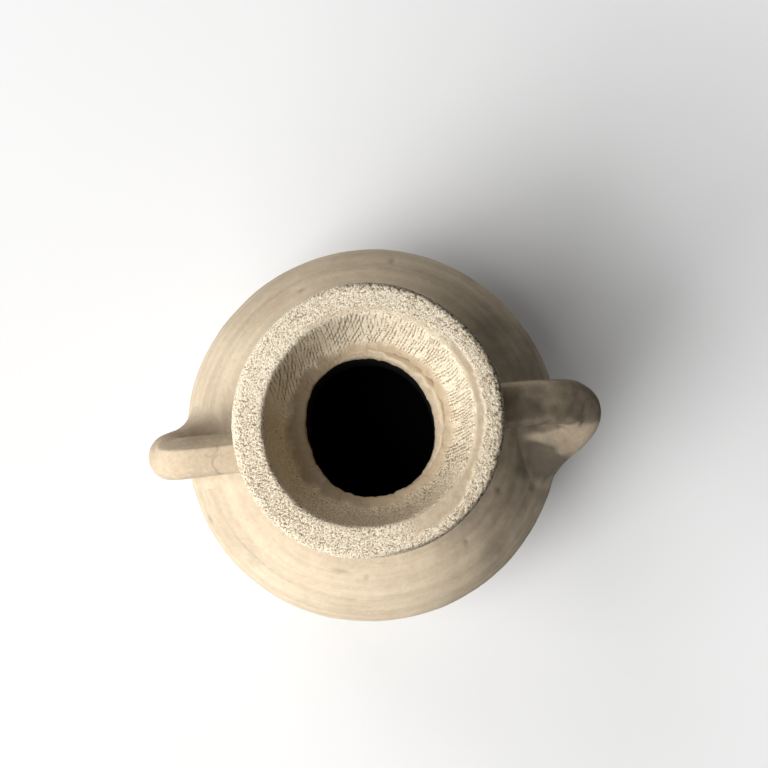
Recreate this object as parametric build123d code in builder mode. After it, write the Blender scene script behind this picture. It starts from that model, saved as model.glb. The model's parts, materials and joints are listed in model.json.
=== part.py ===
"""A small two-handled clay flask, built the way a potter builds one.

The belly and the shoulder are thrown apart and joined at a tongued seam, a short neck is set into
the shoulder, a cup-shaped mouth is slipped over the neck, and two rolled ear handles run from the
neck to the shoulder. Coils and pads of soft luting clay close the joints.

Frame: millimetres, +Z up, origin at the centre of the flat base, +X towards the right handle.
"""

import os
from math import cos, radians, sin

from build123d import *

# Thrown body
body_height = 78.0
body_diameter = 110.0
widest_height = 47.0
base_diameter = 54.0
base_edge_radius = 2.0
base_take_off_deg = 42.0
base_thickness = 7.0
floor_diameter = 26.0
wall = 5.5
shoulder_slope_deg = 24.0
belly_fullness = 0.52
shoulder_fullness = 0.54

# Seam between belly and shoulder
shoulder_height = 14.0
seam_groove = 0.8
tongue_width = 2.0
tongue_height = 1.6

# Neck and its seats
throat_diameter = 36.8
neck_wall = 4.6
neck_ledge = 2.5
neck_waist = 0.7
neck_height = 13.0
lower_spigot_wall = 2.7
lower_spigot_depth = 4.0
upper_spigot_wall = 2.3
upper_spigot_height = 5.0
throat_edge_radius = 1.0
throat_foot_radius = 1.4
throat_bead = 0.8
slip_gap = 0.15

# Mouth
mouth_height = 27.0
mouth_diameter = 70.4
rim_width = 8.1
rim_drop = 0.8
rim_depth = 6.0
rim_undercut = 1.6
rim_inner_radius = 2.2
rim_outer_radius = 2.4
cup_floor_run = 5.5
cup_floor_rise = 4.0
cup_wall_run = 1.6
cup_wall_rise = 10.0
flare_rise = 9.0
flare_run = 6.0
flare_drop = 4.5

# Luting coils round the neck and the mouth seam
neck_coil_rise = 3.2
neck_coil_run = 4.4
mouth_seam_chamfer = 1.1
mouth_coil_crown = 0.45

# Luting pads round the ends of each handle: how far a pad spreads, climbs and starts below the surface
root_pad_spread = 3.2
foot_pad_spread = 5.4
pad_climb = 7.0
pad_embed = 2.5
pad_edge = 0.6
pad_sections = 5

# Handles: the roll of clay and its centre line from the neck over the elbow to the shoulder
handle_width = 12.2
handle_thickness = 10.0
handle_root_swell = 0.8
handle_foot_swell = 2.4
handle_tuck = 1.5
handle_root_height = 8.8
handle_strap_run = 26.0
handle_strap_rise = 9.5
handle_elbow_rise = 6.0
handle_foot_inset = 9.0
handle_foot_depth = 11.0
widest_share = 0.7
handle_sections = 13

# Side of the flask, how far the handle stands out from the widest ring, and the turn of each stretch
handles = {
    "right_handle": {"side_deg": 0, "stand_out": 8.2, "root_deg": 0.4, "elbow_deg": 0.8, "foot_deg": -17.0},
    "left_handle": {"side_deg": 180, "stand_out": 5.7, "root_deg": 2.8, "elbow_deg": 0.5, "foot_deg": -4.0},
}

# Halvings of a path when its crossing of the pot's surface is looked for
halvings = 24

# Heights and radii that follow
body_radius = body_diameter / 2
base_radius = base_diameter / 2
floor_radius = floor_diameter / 2
throat_radius = throat_diameter / 2
neck_radius = throat_radius + neck_wall
shoulder_end_radius = neck_radius + neck_ledge
mouth_radius = mouth_diameter / 2
cup_radius = mouth_radius - rim_width
neck_seat = body_height
seam_height = body_height - shoulder_height
mouth_seat = neck_seat + neck_height
throat_top = mouth_seat + upper_spigot_height
rim_top = mouth_seat + mouth_height
lower_spigot_radius = throat_radius + lower_spigot_wall
upper_spigot_radius = throat_radius + upper_spigot_wall
opening_radius = lower_spigot_radius + slip_gap
socket_radius = upper_spigot_radius + slip_gap
opening_bottom = neck_seat - lower_spigot_depth


def heading(degrees):
    """Unit direction in a profile, measured from outwards towards up."""
    return Vector(cos(radians(degrees)), sin(radians(degrees)))


def belly_curve(radius, foot, foot_slope_deg):
    """Profile curve from the widest ring down to a foot point, upright at the widest ring."""
    top = Vector(radius, widest_height)
    pull = belly_fullness * (widest_height - foot.Y)
    return Bezier(top, top - Vector(0, pull), foot + heading(foot_slope_deg) * pull, foot)


def shoulder_curve(radius, end, slope_deg):
    """Profile curve from the widest ring up to the end of the shoulder, upright at the widest ring."""
    start = Vector(radius, widest_height)
    pull = shoulder_fullness * (end.Y - widest_height)
    return Bezier(start, start + Vector(0, pull), end + heading(-slope_deg) * pull, end)


def body_outline():
    """Outer profile of the thrown body, from the base up to the neck's seat."""
    belly_curve(body_radius, Vector(base_radius, 0), base_take_off_deg)
    shoulder_curve(body_radius, Vector(shoulder_end_radius, neck_seat), shoulder_slope_deg)


def mouth_outline():
    """Outer profile of the mouth, from its seat on the neck up to the rim's outer edge."""
    seat = Vector(neck_radius, mouth_seat)
    lip = Vector(mouth_radius - rim_undercut, rim_top - rim_depth)
    Bezier(seat, seat + Vector(0, flare_rise), lip - Vector(flare_run, flare_drop), lip)
    Polyline(lip, lip + Vector(rim_undercut, rim_undercut), (mouth_radius, rim_top - rim_drop))


def neck_outline():
    """Outer profile of the neck, drawn in a little at its waist."""
    ThreePointArc(
        (neck_radius, neck_seat),
        (neck_radius - neck_waist, neck_seat + neck_height / 2),
        (neck_radius, mouth_seat),
    )


def body_wall():
    """Closed section of the hollow thrown body, still in one, that the seam divides."""
    body_outline()
    Polyline(
        (shoulder_end_radius, neck_seat),
        (opening_radius, neck_seat),
        (opening_radius, opening_bottom),
    )
    shoulder_curve(body_radius - wall, Vector(opening_radius, opening_bottom), shoulder_slope_deg)
    belly_curve(body_radius - wall, Vector(floor_radius, base_thickness), 0)
    Polyline((floor_radius, base_thickness), (0, base_thickness), (0, 0), (base_radius, 0))


seam_plane = Plane.XY.offset(seam_height)

# Belly: the lower part, with a tongue standing on its seam
with BuildPart() as belly:
    with BuildSketch(Plane.YZ):
        with BuildLine():
            body_wall()
        make_face()
        with Locations((body_radius / 2, seam_height / 2)):
            Rectangle(body_diameter, seam_height, mode=Mode.INTERSECT)
    revolve(axis=Axis.Z)
    seam_edges = faces().sort_by(Axis.Z)[-1].edges().sort_by(SortBy.RADIUS)
    tongue_radius = (seam_edges[0].radius + seam_edges[-1].radius) / 2
    fillet(faces().sort_by(Axis.Z)[0].edges(), base_edge_radius)
    chamfer(faces().sort_by(Axis.Z)[-1].edges().sort_by(SortBy.RADIUS)[-1], seam_groove)
    with BuildSketch(seam_plane):
        Circle(tongue_radius + tongue_width / 2)
        Circle(tongue_radius - tongue_width / 2, mode=Mode.SUBTRACT)
    extrude(amount=tongue_height)

# Shoulder: the upper part, grooved underneath for the tongue
with BuildPart() as shoulder:
    with BuildSketch(Plane.YZ):
        with BuildLine():
            body_wall()
        make_face()
        with Locations((body_radius / 2, seam_height / 2)):
            Rectangle(body_diameter, seam_height, mode=Mode.SUBTRACT)
    revolve(axis=Axis.Z)
    chamfer(faces().sort_by(Axis.Z)[0].edges().sort_by(SortBy.RADIUS)[-1], seam_groove)
    with BuildSketch(seam_plane):
        Circle(tongue_radius + tongue_width / 2 + slip_gap)
        Circle(tongue_radius - tongue_width / 2 - slip_gap, mode=Mode.SUBTRACT)
    extrude(amount=tongue_height + slip_gap, mode=Mode.SUBTRACT)

# Neck: a tube with a spigot at each end, whose top edge shows as a ring at the throat
with BuildPart() as neck:
    with BuildSketch(Plane.YZ):
        with BuildLine():
            neck_outline()
            Polyline(
                (neck_radius, mouth_seat),
                (upper_spigot_radius, mouth_seat),
                (upper_spigot_radius, throat_top),
                (throat_radius, throat_top),
                (throat_radius, opening_bottom),
                (lower_spigot_radius, opening_bottom),
                (lower_spigot_radius, neck_seat),
                (neck_radius, neck_seat),
            )
        make_face()
    revolve(axis=Axis.Z)
    fillet(faces().sort_by(Axis.Z)[-1].edges(), throat_edge_radius)
    fillet(faces().sort_by(Axis.Z)[0].edges().sort_by(SortBy.RADIUS)[0], throat_foot_radius)
    seat_edges = edges().filter_by(GeomType.CIRCLE).filter_by_position(Axis.Z, mouth_seat, mouth_seat)
    chamfer(seat_edges.sort_by(SortBy.RADIUS)[-1], mouth_seam_chamfer)

# Mouth: a thick-rimmed cup, slipped over the neck's upper spigot
with BuildPart() as mouth:
    with BuildSketch(Plane.YZ):
        with BuildLine():
            mouth_outline()
            cup_floor = Vector(socket_radius, throat_top - throat_bead)
            cup_edge = Vector(cup_radius, rim_top)
            Polyline((mouth_radius, rim_top - rim_drop), cup_edge)
            Bezier(
                cup_edge,
                cup_edge - Vector(cup_wall_run, cup_wall_rise),
                cup_floor + Vector(cup_floor_run, cup_floor_rise),
                cup_floor,
            )
            Polyline(cup_floor, (socket_radius, mouth_seat), (neck_radius, mouth_seat))
        make_face()
    revolve(axis=Axis.Z)
    rim_outer, rim_inner = edges().filter_by(GeomType.CIRCLE).sort_by(Axis.Z)[-2:]
    fillet(rim_inner, rim_inner_radius)
    fillet(rim_outer, rim_outer_radius)
    chamfer(faces().sort_by(Axis.Z)[0].edges().sort_by(SortBy.RADIUS)[-1], mouth_seam_chamfer)

# Space that the thrown pieces fill, with the hollow closed, for cutting what is luted on
with BuildPart() as envelope:
    with BuildSketch(Plane.YZ):
        with BuildLine():
            body_outline()
            Line((shoulder_end_radius, neck_seat), (neck_radius, neck_seat))
            neck_outline()
            mouth_outline()
            Polyline((mouth_radius, rim_top - rim_drop), (0, rim_top), (0, 0), (base_radius, 0))
        make_face()
    revolve(axis=Axis.Z)

# Coil pressed into the corner between shoulder and neck
with BuildPart() as neck_root_coil:
    with BuildSketch(Plane.YZ):
        with BuildLine():
            coil_top = Vector(neck_radius, neck_seat + neck_coil_rise)
            coil_edge = Vector(neck_radius + neck_coil_run, neck_seat - neck_coil_run / 2)
            corner = Vector(neck_radius, neck_seat)
            Bezier(coil_top, corner + Vector(neck_waist, neck_waist), coil_edge)
            Polyline(coil_edge, (throat_radius, coil_edge.Y), (throat_radius, coil_top.Y), coil_top)
        make_face()
    revolve(axis=Axis.Z)
    add(envelope, mode=Mode.SUBTRACT)

# Coil that fills the notch between neck and mouth and stands a little proud
with BuildPart() as mouth_seam_coil:
    with BuildSketch(Plane.YZ):
        with BuildLine():
            notch_low = Vector(neck_radius, mouth_seat - mouth_seam_chamfer)
            notch_high = Vector(neck_radius, mouth_seat + mouth_seam_chamfer)
            ThreePointArc(notch_low, (neck_radius + mouth_coil_crown, mouth_seat), notch_high)
            Polyline(notch_high, (neck_radius - mouth_seam_chamfer, mouth_seat), notch_low)
        make_face()
    revolve(axis=Axis.Z)
    add(neck, mode=Mode.SUBTRACT)
    add(mouth, mode=Mode.SUBTRACT)


def around(radius, degrees, height):
    """Point at a radius from the flask's axis, at an angle about it and at a height."""
    return Vector(radius * cos(radians(degrees)), radius * sin(radians(degrees)), height)


def handle_path(side_deg, stand_out, root_deg, elbow_deg, foot_deg):
    """Centre line of a handle: out of the neck, up over the elbow and down into the shoulder."""
    root_turn = side_deg + root_deg
    elbow_turn = side_deg + elbow_deg
    foot_turn = side_deg + foot_deg
    root_radius = neck_radius - pad_embed - handle_tuck
    strap_radius = root_radius + handle_strap_run
    foot_radius = body_radius - handle_foot_inset
    root_height = neck_seat + handle_root_height
    strap_height = root_height + handle_strap_rise
    elbow_height = root_height + handle_elbow_rise
    foot_height = seam_height - handle_foot_depth
    start, end = 1 - widest_share, widest_share
    shares = (start**3, 3 * start**2 * end, 3 * start * end**2, end**3)
    widest = body_radius + stand_out - handle_thickness / 2
    others = shares[0] * root_radius + shares[1] * strap_radius + shares[3] * foot_radius
    elbow_radius = (widest - others) / shares[2]
    return Edge.make_bezier(
        around(root_radius, root_turn, root_height),
        around(strap_radius, root_turn, strap_height),
        around(elbow_radius, elbow_turn, elbow_height),
        around(foot_radius, foot_turn, foot_height),
    )


def across(path, share, way):
    """Plane on the path that faces the given way, with its X direction level and across the handle."""
    return Plane(origin=path @ share, x_dir=Vector(0, 0, 1).cross(way), z_dir=way)


def section_size(share):
    """Half width and half thickness of the handle's oval section, swelling towards its ends."""
    swell = handle_root_swell * (1 - share) ** 4 + handle_foot_swell * share**4
    return (handle_width + swell) / 2, (handle_thickness + swell) / 2


def surface_share(path, inside_share, outside_share):
    """Share of the path at which it leaves the envelope, found by halving."""
    for _ in range(halvings):
        middle = (inside_share + outside_share) / 2
        if envelope.part.is_inside(path @ middle):
            inside_share = middle
        else:
            outside_share = middle
    return outside_share


def rolled_handle(path):
    """Whole roll of clay along the path, with both ends still running on inside the pot."""
    with BuildPart() as roll:
        for step in range(handle_sections):
            share = step / (handle_sections - 1)
            with BuildSketch(across(path, share, path % share)):
                Ellipse(*section_size(share))
        loft()
    return roll


def luting_pad(path, surface, direction, widest_spread):
    """Collar of clay smeared round a handle's end, lying wide on the pot and climbing thin up the handle."""
    seat = path @ surface
    off_the_pot = envelope.faces().sort_by_distance(seat)[0].normal_at(seat)
    with BuildPart() as pad:
        for step in range(pad_sections):
            climbed = step / (pad_sections - 1)
            distance = -pad_embed + climbed * (pad_climb + pad_embed)
            share = surface + direction * distance / path.length
            half_width, half_thickness = section_size(share)
            spread = pad_edge + (widest_spread - pad_edge) * (1 - climbed) ** 2
            up_the_handle = (path % share) * direction
            way = off_the_pot * (1 - climbed) + up_the_handle * climbed
            with BuildSketch(across(path, share, way)):
                Ellipse(half_width + spread, half_thickness + spread)
        loft()
    return pad


def trimmed(shape, *neighbours):
    """The shape with all that its neighbours already fill cut away."""
    with BuildPart() as rest:
        add(shape)
        for neighbour in neighbours:
            add(neighbour, mode=Mode.SUBTRACT)
    return rest


pieces = {
    "belly": belly,
    "shoulder": shoulder,
    "neck": neck,
    "mouth": mouth,
    "neck_root_coil": neck_root_coil,
    "mouth_seam_coil": mouth_seam_coil,
}
pot = (envelope, neck_root_coil, mouth_seam_coil)

for name, place in handles.items():
    path = handle_path(**place)
    roll = rolled_handle(path)
    pieces[name] = trimmed(roll, *pot)
    root_pad = luting_pad(path, surface_share(path, 0, 0.5), 1, root_pad_spread)
    foot_pad = luting_pad(path, surface_share(path, 1, 0.5), -1, foot_pad_spread)
    pieces[f"{name}_root_pad"] = trimmed(root_pad, roll, *pot)
    pieces[f"{name}_foot_pad"] = trimmed(foot_pad, roll, *pot)

os.makedirs("parts", exist_ok=True)
for name, piece in pieces.items():
    piece.part.label = name
    export_step(piece.part, f"parts/{name}.step")
    print(f"{name}: {len(piece.part.solids())} solid, {piece.part.volume:.0f} mm3")
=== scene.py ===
# %% [markdown]
# # A small two-handled clay flask
# The flask is unglazed clay: a thrown belly and shoulder, a short neck, a cup-shaped mouth with a sandy
# rim, and two rolled handles luted on with soft clay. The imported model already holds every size, so this
# lesson builds each piece again in the same place with the surface that hands, sand and use have left on
# it. All shapes are worked out in millimetres and turned into metres only when a mesh is made.

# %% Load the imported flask
import json
import math
from itertools import product

import bpy
import numpy as np
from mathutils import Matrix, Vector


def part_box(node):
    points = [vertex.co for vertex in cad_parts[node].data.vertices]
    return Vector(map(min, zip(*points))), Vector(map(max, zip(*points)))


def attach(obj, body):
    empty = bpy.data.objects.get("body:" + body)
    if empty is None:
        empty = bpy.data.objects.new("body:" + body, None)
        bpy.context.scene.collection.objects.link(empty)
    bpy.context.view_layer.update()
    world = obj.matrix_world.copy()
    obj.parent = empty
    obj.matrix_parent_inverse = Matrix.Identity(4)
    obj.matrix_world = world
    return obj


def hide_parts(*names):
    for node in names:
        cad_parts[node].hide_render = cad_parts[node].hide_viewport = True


MM = 0.001
scene = bpy.context.scene
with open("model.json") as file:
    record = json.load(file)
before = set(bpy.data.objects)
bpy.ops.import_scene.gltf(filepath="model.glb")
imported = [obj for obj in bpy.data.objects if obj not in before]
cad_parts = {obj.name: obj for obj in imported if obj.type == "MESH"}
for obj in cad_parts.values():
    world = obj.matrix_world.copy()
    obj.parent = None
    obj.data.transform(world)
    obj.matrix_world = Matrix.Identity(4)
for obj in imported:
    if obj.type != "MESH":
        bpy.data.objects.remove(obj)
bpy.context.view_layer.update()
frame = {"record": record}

# %% [markdown]
# ## Sizes
# A piece that is dressed must not change its size. The heights and radii that the pieces share are read
# from the boxes of the imported nodes, and the stopper's bore from the record. That is safer than typing
# them again, because a new model.glb then moves everything together.

# %% Read the shared heights and radii
def reach(node, axis):
    """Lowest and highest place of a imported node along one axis, in millimetres."""
    low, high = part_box(node)
    return low[axis] / MM, high[axis] / MM


ACROSS, UP = 1, 2
body_radius = reach("belly", ACROSS)[1]
seam_height, neck_seat = reach("shoulder", UP)
neck_radius = reach("neck", ACROSS)[1]
opening_bottom, throat_top = reach("neck", UP)
mouth_radius = reach("mouth", ACROSS)[1]
mouth_seat, rim_top = reach("mouth", UP)
bores = {mount["name"]: mount["dims"] for mount in frame["record"]["mounts"]}
throat_radius = bores["throat"]["r_mm"]
print(f"body radius {body_radius:.1f}, seam at {seam_height:.1f}, rim at {rim_top:.1f} mm")

# %% [markdown]
# ## Bumps that come out the same on every run
# Clay is never smooth. A noise texture in a material can fake that, but its outline stays perfect, so the
# larger bumps here move the mesh itself. The noise is worked out from the place in space alone: two
# pieces that meet at a joint then rise and fall together, and nothing is drawn at random.

# %% Noise over points in space
CORNER_STRIDES = np.array([73856093, 19349663, 83492791])
DRAW_FACTORS = np.array([1, 57, 131])
SEED_STRIDE = 9781
MIX_FACTOR = 1274126177
LOW_BITS = 0x7FFFFFFF
FULL_SWING = 1.6


def corner_slopes(corner, seed):
    """A repeatable random slope for every corner of a grid of cells."""
    mixed = ((corner * CORNER_STRIDES).sum(-1) + seed * SEED_STRIDE)[..., None] * DRAW_FACTORS
    for shift in (13, 16, 11):
        mixed = mixed & LOW_BITS
        mixed = (mixed ^ (mixed >> shift)) * MIX_FACTOR
    return (mixed & LOW_BITS) / (LOW_BITS / 2) - 1


def clay_noise(points, size, seed):
    """Smooth bumps of about one size in millimetres, mostly between -1 and 1."""
    cell = points / size
    corner = np.floor(cell).astype(np.int64)
    share = cell - corner
    fade = share**3 * (share * (share * 6 - 15) + 10)
    total = np.zeros(points.shape[:-1])
    for step in product((0, 1), repeat=3):
        weight = np.where(step, fade, 1 - fade).prod(-1)
        total += weight * (corner_slopes(corner + step, seed) * (share - step)).sum(-1)
    return total * FULL_SWING


def smooth_step(low, high, value):
    """0 below low, 1 above high and an easy slope between them; high may be the smaller one."""
    share = np.clip((value - low) / (high - low), 0, 1)
    return share * share * (3 - 2 * share)


print("noise at one place:", clay_noise(np.array([[10.0, 20.0, 30.0]]), 7.0, 1).round(3))

# %% [markdown]
# ## Turning a profile on the wheel
# A potter shapes a wall as the wheel turns, so a thrown piece is a profile swung round an axis. Blender's
# Screw modifier does that too, but the bumps need every point and its normal, so the profile is swung
# here in numpy: rows run along the profile, and each row is a ring.

# %% Curves and rings
def bezier(corners, share):
    """Points of a Bezier curve with these corners, at shares from 0 to 1."""
    share = np.asarray(share)[..., None]
    points = [np.asarray(corner, float) for corner in corners]
    while len(points) > 1:
        points = [a * (1 - share) + b * share for a, b in zip(points, points[1:])]
    return points[0]


CURVE_SHARES = np.linspace(0, 1, 60)


def spaced(line, gap):
    """The same line with its points about one gap apart."""
    line = np.asarray(line, float)
    steps = np.linalg.norm(np.diff(line, axis=0), axis=1)
    along = np.concatenate([[0], np.cumsum(steps)])
    places = np.linspace(0, along[-1], max(2, round(along[-1] / gap) + 1))
    return np.stack([np.interp(places, along, column) for column in line.T], axis=1)


def joined(*lines):
    """Lines that follow each other, as one, with each shared end point kept once."""
    return np.vstack([line[:-1] for line in lines[:-1]] + [lines[-1]])


def straight(gap, *corners):
    """Straight lines through corners, with points about one gap apart and one at each corner."""
    return joined(*[spaced(pair, gap) for pair in zip(corners, corners[1:])])


def swung(profile, around):
    """A profile of radius and height swung round the flask's axis: rows of ring points."""
    angle = np.arange(around) * math.tau / around
    radius, height = profile.T
    level = np.repeat(height[:, None], around, axis=1)
    return np.stack([np.outer(radius, np.cos(angle)), np.outer(radius, np.sin(angle)), level], axis=-1)


def facing(rows, closed):
    """Unit normals of rows of ring points, pointing out of the clay."""
    ring_way = np.roll(rows, -1, 1) - np.roll(rows, 1, 1)
    if closed:
        row_way = np.roll(rows, -1, 0) - np.roll(rows, 1, 0)
    else:
        row_way = np.gradient(rows, axis=0)
    normal = np.cross(ring_way, row_way)
    return normal / np.linalg.norm(normal, axis=-1, keepdims=True)


print("a ring of 4:", swung(np.array([[10.0, 0.0]]), 4).round(1).tolist())

# %% [markdown]
# ## From rows to a piece
# Each piece is one closed mesh of quads. Beside its shape it carries marks per point, which the materials
# read later: how high the grit stands, how sandy the clay is, how far it is worn, how much soil lies on
# it, how dark smoke has stained it, and where shade or light is painted on it. A mark that a piece lacks
# counts as none.

# %% Make a piece from rows of rings
pieces_by_slot = {"body_clay": [], "mouth_clay": [], "handle_clay": [], "luting_clay": []}


def make_piece(name, node, slot, rows, closed, marks):
    """A mesh piece over rows of ring points in millimetres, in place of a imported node."""
    count, around = rows.shape[:2]
    index = np.arange(count * around).reshape(count, around)
    loop = np.vstack([index, index[:1]]) if closed else index
    here, there = loop[:-1], loop[1:]
    quads = np.stack([here, np.roll(here, -1, 1), np.roll(there, -1, 1), there], axis=-1)
    faces = quads.reshape(-1, 4).tolist()
    if not closed:
        faces += [index[0, ::-1].tolist(), index[-1].tolist()]
    mesh = bpy.data.meshes.new(name)
    mesh.from_pydata(rows.reshape(-1, 3) * MM, [], faces)
    mesh.shade_smooth()
    for mark, values in marks.items():
        attribute = mesh.attributes.new(mark, "FLOAT", "POINT")
        attribute.data.foreach_set("value", np.ascontiguousarray(values, np.float32).ravel())
    piece = bpy.data.objects.new(name, mesh)
    scene.collection.objects.link(piece)
    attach(piece, "root")
    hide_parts(node)
    pieces_by_slot[slot].append(piece)
    print(f"{name}: {len(faces)} faces")


print("clays to come:", list(pieces_by_slot))

# %% [markdown]
# ## What the hands leave
# Thrown clay shows shallow rings where the fingers rose, slow lumps where they pressed, and a fine grain.
# The whole pot is also a little out of round. One function gives all of that to every piece, so that the
# pieces still meet.

# %% Unevenness of thrown clay
# Lobes: how many, their height in millimetres at the widest ring, and the side they point to in degrees
body_lobes = ((2, 0.22, 40.0), (3, 0.14, 100.0), (5, 0.06, 10.0))
lump_sizes = ((17.0, 0.16), (7.0, 0.07), (3.2, 0.03))
ring_spacing = 3.3
ring_height = 0.015
ring_wander, ring_wander_size = 0.5, 30.0
ring_mean, ring_swing, ring_patch = 0.55, 0.6, 24.0
grain_sizes = ((1.1, 0.022), (0.6, 0.012))
grain_full = sum(height for _, height in grain_sizes)


def polar(points):
    """Radius and angle in degrees of points about the flask's axis."""
    return np.hypot(points[..., 0], points[..., 1]), np.degrees(np.arctan2(points[..., 1], points[..., 0]))


def sector(angle, side, half_width, fade):
    """1 within half_width degrees of a side, falling to 0 over the fade."""
    turn = np.abs((angle - side + 180) % 360 - 180)
    return smooth_step(half_width + fade, half_width, turn)


def lobed(points, lobes, share):
    """Points moved in and out from the axis by lobes, times a share for each point."""
    radius, angle = polar(points)
    swell = sum(height * np.cos(count * np.radians(angle - side)) for count, height, side in lobes)
    growth = 1 + swell * share / np.maximum(radius, 1.0)
    return points * np.stack([growth, growth, np.ones_like(growth)], axis=-1)


def layered(points, sizes, seed):
    """Bumps of several sizes, each with its own height."""
    return sum(height * clay_noise(points, size, seed + step) for step, (size, height) in enumerate(sizes))


def thrown_height(points, ring_share=1.0):
    """How far thrown clay stands out at each point: lumps, finger rings and grain."""
    phase = points[..., 2] / ring_spacing + ring_wander * clay_noise(points, ring_wander_size, 21)
    strength = ring_share * (ring_mean + ring_swing * clay_noise(points, ring_patch, 22))
    rings = ring_height * np.sin(math.tau * phase) * strength
    return layered(points, lump_sizes, 11) + rings


def grain_height(points):
    """Fine grain of the clay, in millimetres."""
    return layered(points, grain_sizes, 31)


def grain_tone(points):
    """Fine grain from -1 in its hollows to 1 on its crests."""
    return np.clip(grain_height(points) / grain_full, -1, 1)


def hand_shaped(rows, ways, extra=0.0, ring_share=1.0):
    """Rows moved along their ways by what hands and grain leave plus an extra, and out of round."""
    height = thrown_height(rows, ring_share) + grain_height(rows) + extra
    moved = rows + ways * height[..., None]
    return lobed(moved, body_lobes, polar(moved)[0] / body_radius)


print(f"finger rings {ring_spacing} mm apart, grain up to {grain_full:.3f} mm")

# %% [markdown]
# ## Smoke from the kiln, and painted shade
# One side of the flask stood where the fire was smoky and came out grey-brown, from the shoulder up over
# the right handle. A dark colour painted on each piece would break at the joints, so the stain depends on
# the place alone, and every piece on that side takes its share from one function. Three small clouds in
# it are painted shade: the left strap's shadow on the body, and the shade round the right handle's foot.

# %% Smoke stain and painted shade
smoke_side, smoke_half_width, smoke_fade = -11.0, 30.0, 46.0
smoke_drift, smoke_drift_size = 16.0, 19.0
smoke_patches = ((8.0, 0.3), (3.0, 0.2))
skin_smoke = 0.5
# Smaller clouds: middle, half sizes along the three axes, share; the first three are painted shade
smoke_and_shade_clouds = (
    # Painted shadow of the left strap on the body behind it, in two clouds
    ((-45.0, 5.4, 84.0), (12.0, 4.2, 26.0), 0.43),
    ((-43.0, 10.0, 72.0), (9.0, 4.5, 8.0), 0.3),
    # Painted shade round the right handle's foot, where the mouth shades it
    ((47.0, -16.5, 70.0), (8.0, 8.0, 8.0), 0.6),
    ((-22.0, 40.0, 60.0), (13.0, 9.0, 14.0), 0.16),
)


def smoked(points, share=skin_smoke):
    """How dark each point is made, from 0 to 1: the kiln's smoke stain plus the clouds of painted shade.
    """
    _, angle = polar(points)
    drift = smoke_drift * clay_noise(points, smoke_drift_size, 24)
    cloudy = 1 + layered(points, smoke_patches, 25)
    stain = share * sector(angle + drift, smoke_side, smoke_half_width, smoke_fade)
    for middle, half_sizes, darkest in smoke_and_shade_clouds:
        stain = stain + darkest * np.exp(-(((points - middle) / half_sizes) ** 2).sum(-1))
    return np.clip(stain * cloudy, 0, 1)


print(f"smoke over {2 * smoke_half_width:.0f} degrees of the flask, fading over {smoke_fade:.0f} more")

# %% [markdown]
# ## Belly and shoulder
# The body was thrown in two parts and joined at the shoulder, where a fine groove still runs round the
# pot. Both parts follow one outside curve and one inside curve, cut at the joint, and both are moved
# along the outside's normals, so that no crack opens between them. The groove and the few old scars are
# pressed into the mesh, because they have to catch the low light.

# %% The body's two curves
widest_height = 47.0
base_radius = 27.0
base_edge = 2.0
base_take_off_deg = 42.0
base_thickness = 7.0
floor_radius = 13.0
wall = 5.5
shoulder_slope_deg = 24.0
belly_fullness = 0.52
shoulder_fullness = 0.54
neck_ledge = 2.5
opening_wall = 2.85
shoulder_end_radius = neck_radius + neck_ledge
opening_radius = throat_radius + opening_wall


def heading(degrees):
    """Unit direction in a profile, from outwards towards up."""
    return np.array([math.cos(math.radians(degrees)), math.sin(math.radians(degrees))])


def body_line(radius, foot, foot_slope_deg, end):
    """Profile from a foot point over the widest ring to the end of the shoulder."""
    foot, end, widest = np.array(foot), np.array(end), np.array([radius, widest_height])
    low_pull = belly_fullness * (widest_height - foot[1])
    high_pull = shoulder_fullness * (end[1] - widest_height)
    low_corners = (foot, foot + heading(foot_slope_deg) * low_pull, widest - [0, low_pull], widest)
    high_corners = (widest, widest + [0, high_pull], end + heading(-shoulder_slope_deg) * high_pull, end)
    return joined(bezier(low_corners, CURVE_SHARES), bezier(high_corners, CURVE_SHARES))


shoulder_end = (shoulder_end_radius, neck_seat)
opening_edge = (opening_radius, opening_bottom)
outside = body_line(body_radius, (base_radius, 0.0), base_take_off_deg, shoulder_end)
inside = body_line(body_radius - wall, (floor_radius, base_thickness), 0.0, opening_edge)


def radius_at(line, height):
    """Radius of a rising profile at a height."""
    return np.interp(height, line[:, 1], line[:, 0])


def stretch(line, low, high):
    """The part of a rising profile between two heights."""
    between = line[(line[:, 1] > low) & (line[:, 1] < high)]
    return np.vstack([[radius_at(line, low), low], between, [radius_at(line, high), high]])


def body_ways(points):
    """Unit normals of the body's outside at the height of each point."""
    _, angle = polar(points)
    slope = np.interp(points[..., 2], outside[:, 1], np.gradient(outside[:, 0], outside[:, 1]))
    level = np.cos(np.arctan(slope))
    turn = np.radians(angle)
    return np.stack([level * np.cos(turn), level * np.sin(turn), -slope * level], axis=-1)


print(f"joint between belly and shoulder at radius {radius_at(outside, seam_height):.1f} mm")

# %% The joint's groove and the scars
groove_depth = 0.11
groove_half_width = 0.9
groove_mean, groove_swing, groove_patch, groove_least = 0.62, 0.5, 13.0, 0.15
scar_ragged, scar_ragged_size = 0.5, 0.9
# Scars in the body's wall: radius, angle in degrees, half lengths round and up the pot, depth
body_scars = (
    (40.4, -110.0, 2.6, 0.5, 0.30),
    (41.6, -99.6, 0.6, 0.5, 0.25),
    (39.8, -33.0, 0.8, 0.6, 0.30),
    (49.0, -27.4, 0.7, 0.8, 0.30),
    (41.5, -57.5, 0.7, 0.6, 0.28),
    (45.3, 108.0, 1.2, 0.5, 0.22),
    (53.0, 200.0, 1.4, 0.6, 0.25),
    (50.0, 75.0, 0.9, 0.9, 0.25),
)


def groove_share(points):
    """How deep in the joint's groove each point lies, from 0 to 1; smeared clay fills it in places."""
    left_open = groove_mean + groove_swing * clay_noise(points, groove_patch, 41)
    from_seam = (points[..., 2] - seam_height) / groove_half_width
    return np.exp(-(from_seam**2)) * np.clip(left_open, groove_least, 1)


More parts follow.
